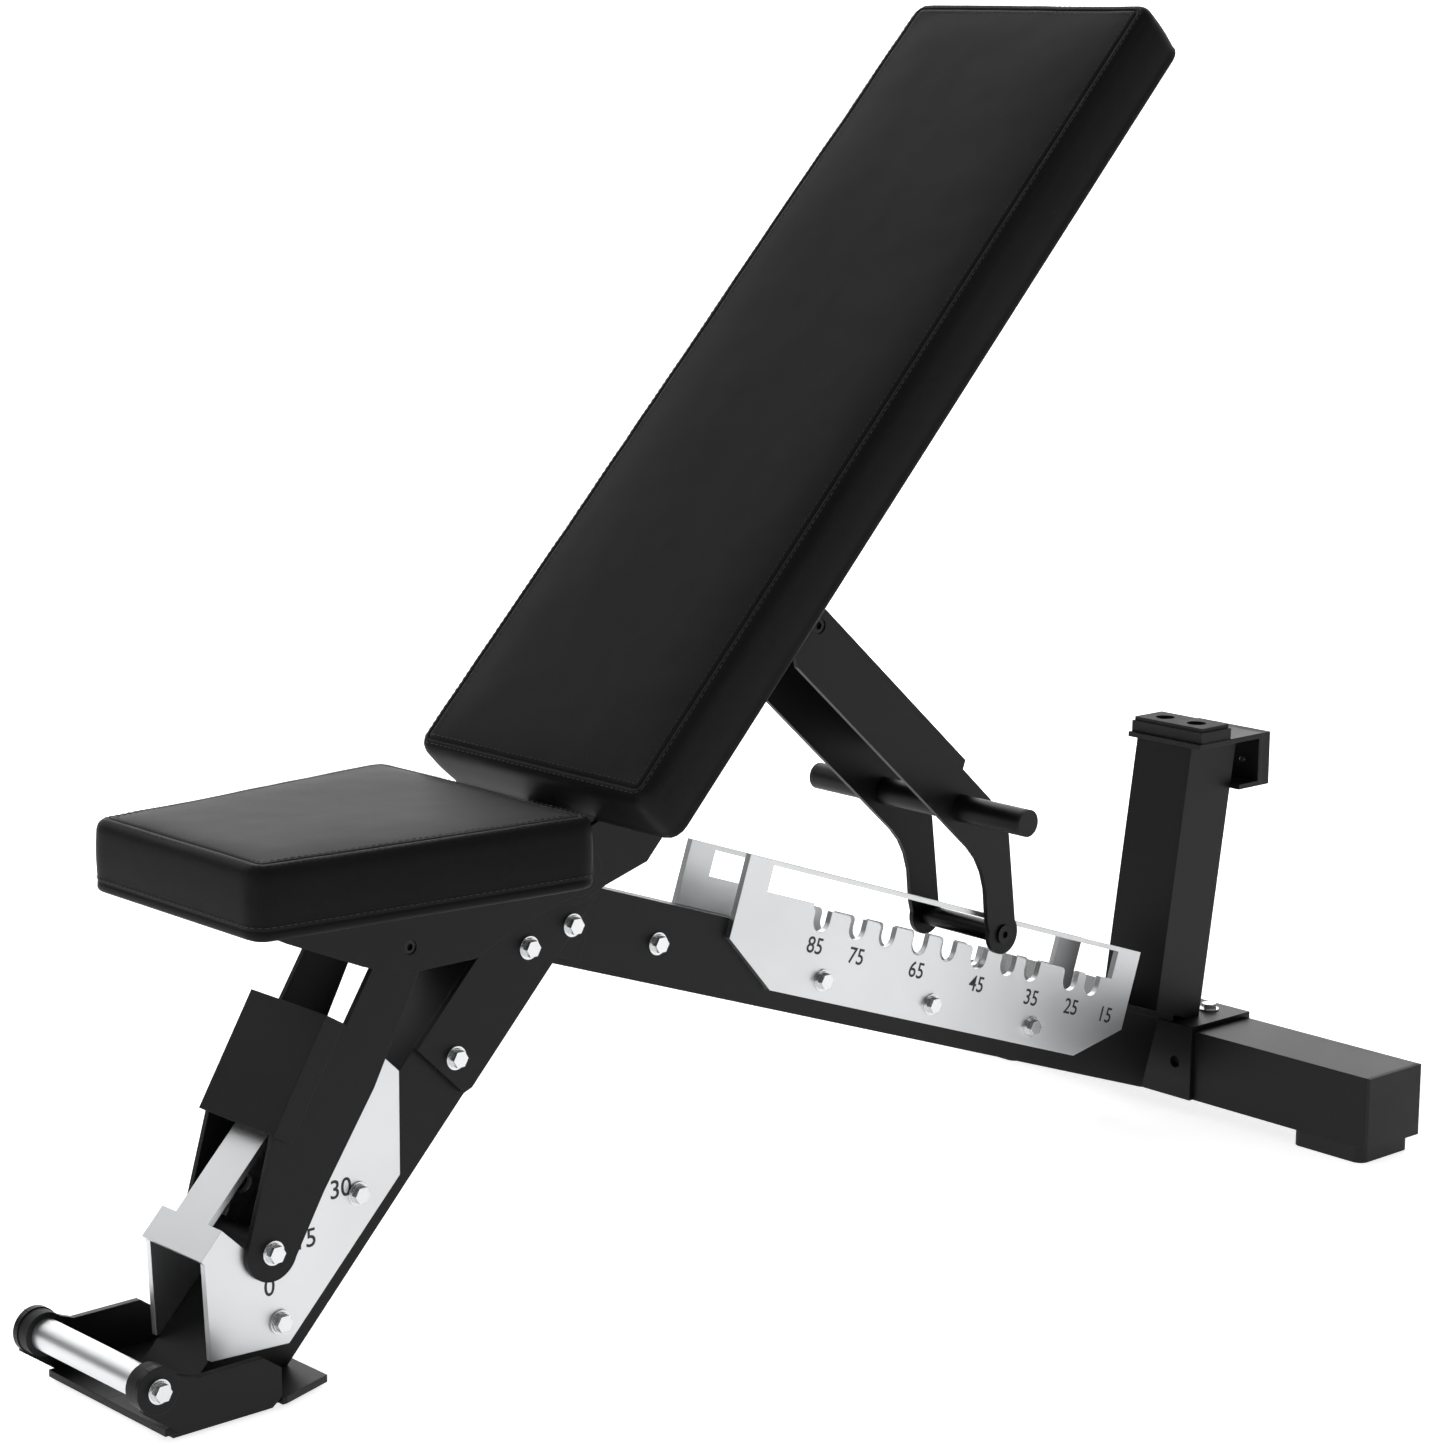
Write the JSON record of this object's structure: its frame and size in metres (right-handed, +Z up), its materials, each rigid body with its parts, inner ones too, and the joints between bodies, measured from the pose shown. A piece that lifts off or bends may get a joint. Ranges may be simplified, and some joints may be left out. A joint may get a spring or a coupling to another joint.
{
  "type": "adjustable weight bench",
  "caption": "Incline weight bench with a tilting seat, a back set by a notched ladder and a swinging support arm, on a sloping tube frame.",
  "frame": {"origin": "on the floor, midway between the front handle and the rear bumper, on the centre plane", "axes": "+X to the rear foot, +Y to the far side when the seat is on the left, +Z up"},
  "size_m": [1.373, 0.548, 1.0746],
  "materials": {
    "powder_coat": "satin black powder coat with a fine texture",
    "plate_steel": "satin silver plate",
    "tube_steel": "brushed round tube",
    "zinc": "bright zinc",
    "black_bolt": "black oxide",
    "vinyl": "black grained vinyl, low sheen, double stitched",
    "board": "plywood under a dark backing",
    "rubber": "matte black rubber"
  },
  "bodies": {
    "frame": {"main_spine": "powder_coat", "front_leg": "powder_coat", "gusset_left": "powder_coat", "gusset_right": "powder_coat", "gusset_bolts": "zinc", "main_pivot_pin": "black_bolt", "back_ladder_left": "plate_steel", "back_ladder_right": "plate_steel", "back_ladder_bolts": "zinc", "seat_ladder": "plate_steel", "seat_ladder_bolts": "zinc", "front_foot_base": "powder_coat", "foot_side_left": "powder_coat", "foot_side_right": "powder_coat", "front_foot_pads": "rubber", "front_handle": "tube_steel", "handle_rings": "rubber", "handle_bolts": "zinc", "rear_foot_bar": "powder_coat", "foot_bar_caps": "rubber", "rear_rubber_feet": "rubber", "saddle": "powder_coat", "saddle_bolts": "zinc", "rear_post": "powder_coat", "post_base_plate": "powder_coat", "post_bracket": "powder_coat", "post_bumper": "rubber", "bumper_screws": "zinc", "upright_bumper": "rubber", "upright_screws": "zinc"},
    "back": {"back_pad": "vinyl", "back_board": "board", "back_tube": "powder_coat", "back_tube_cap": "rubber", "hinge_plate_left": "powder_coat", "hinge_plate_right": "powder_coat", "arm_lugs": "powder_coat", "arm_pivot_pin": "black_bolt", "back_screws": "zinc"},
    "arm": {"support_arm": "powder_coat", "arm_handle": "powder_coat", "arm_handle_caps": "rubber", "lock_bar": "black_bolt", "lock_bar_bolts": "black_bolt"},
    "seat": {"seat_pad": "vinyl", "seat_board": "board", "seat_channel": "powder_coat", "seat_side_left": "powder_coat", "seat_side_right": "powder_coat", "seat_screws": "zinc", "strut_bolts": "black_bolt"},
    "strut": {"strut_left": "powder_coat", "strut_right": "powder_coat", "strut_cover": "powder_coat", "lock_pin": "zinc", "lock_pin_sleeve": "rubber", "lock_pin_bolts": "zinc"}
  },
  "joints": [
    {"name": "back_recline", "type": "hinge", "parent": "frame", "child": "back", "pos_m": [-0.2205, 0, 0.371], "axis": [0, 1, 0], "range_deg": [-28.8, 31.2]},
    {"name": "arm_swing", "type": "hinge", "parent": "back", "child": "arm", "pos_m": [0.05047, 0, 0.54693], "axis": [0, 1, 0], "range_deg": [-50, 46.2]},
    {"name": "seat_tilt", "type": "hinge", "parent": "frame", "child": "seat", "pos_m": [-0.2205, 0, 0.371], "axis": [0, 1, 0], "range_deg": [0, 30]},
    {"name": "strut_swing", "type": "hinge", "parent": "seat", "child": "strut", "pos_m": [-0.3977, 0, 0.3363], "axis": [0, 1, 0], "range_deg": [-36.8, 0]}
  ],
  "couplings": [
    {"joint": "arm_swing", "follows": "back_recline", "ratio": -1.598},
    {"joint": "strut_swing", "follows": "seat_tilt", "ratio": -1.22}
  ]
}
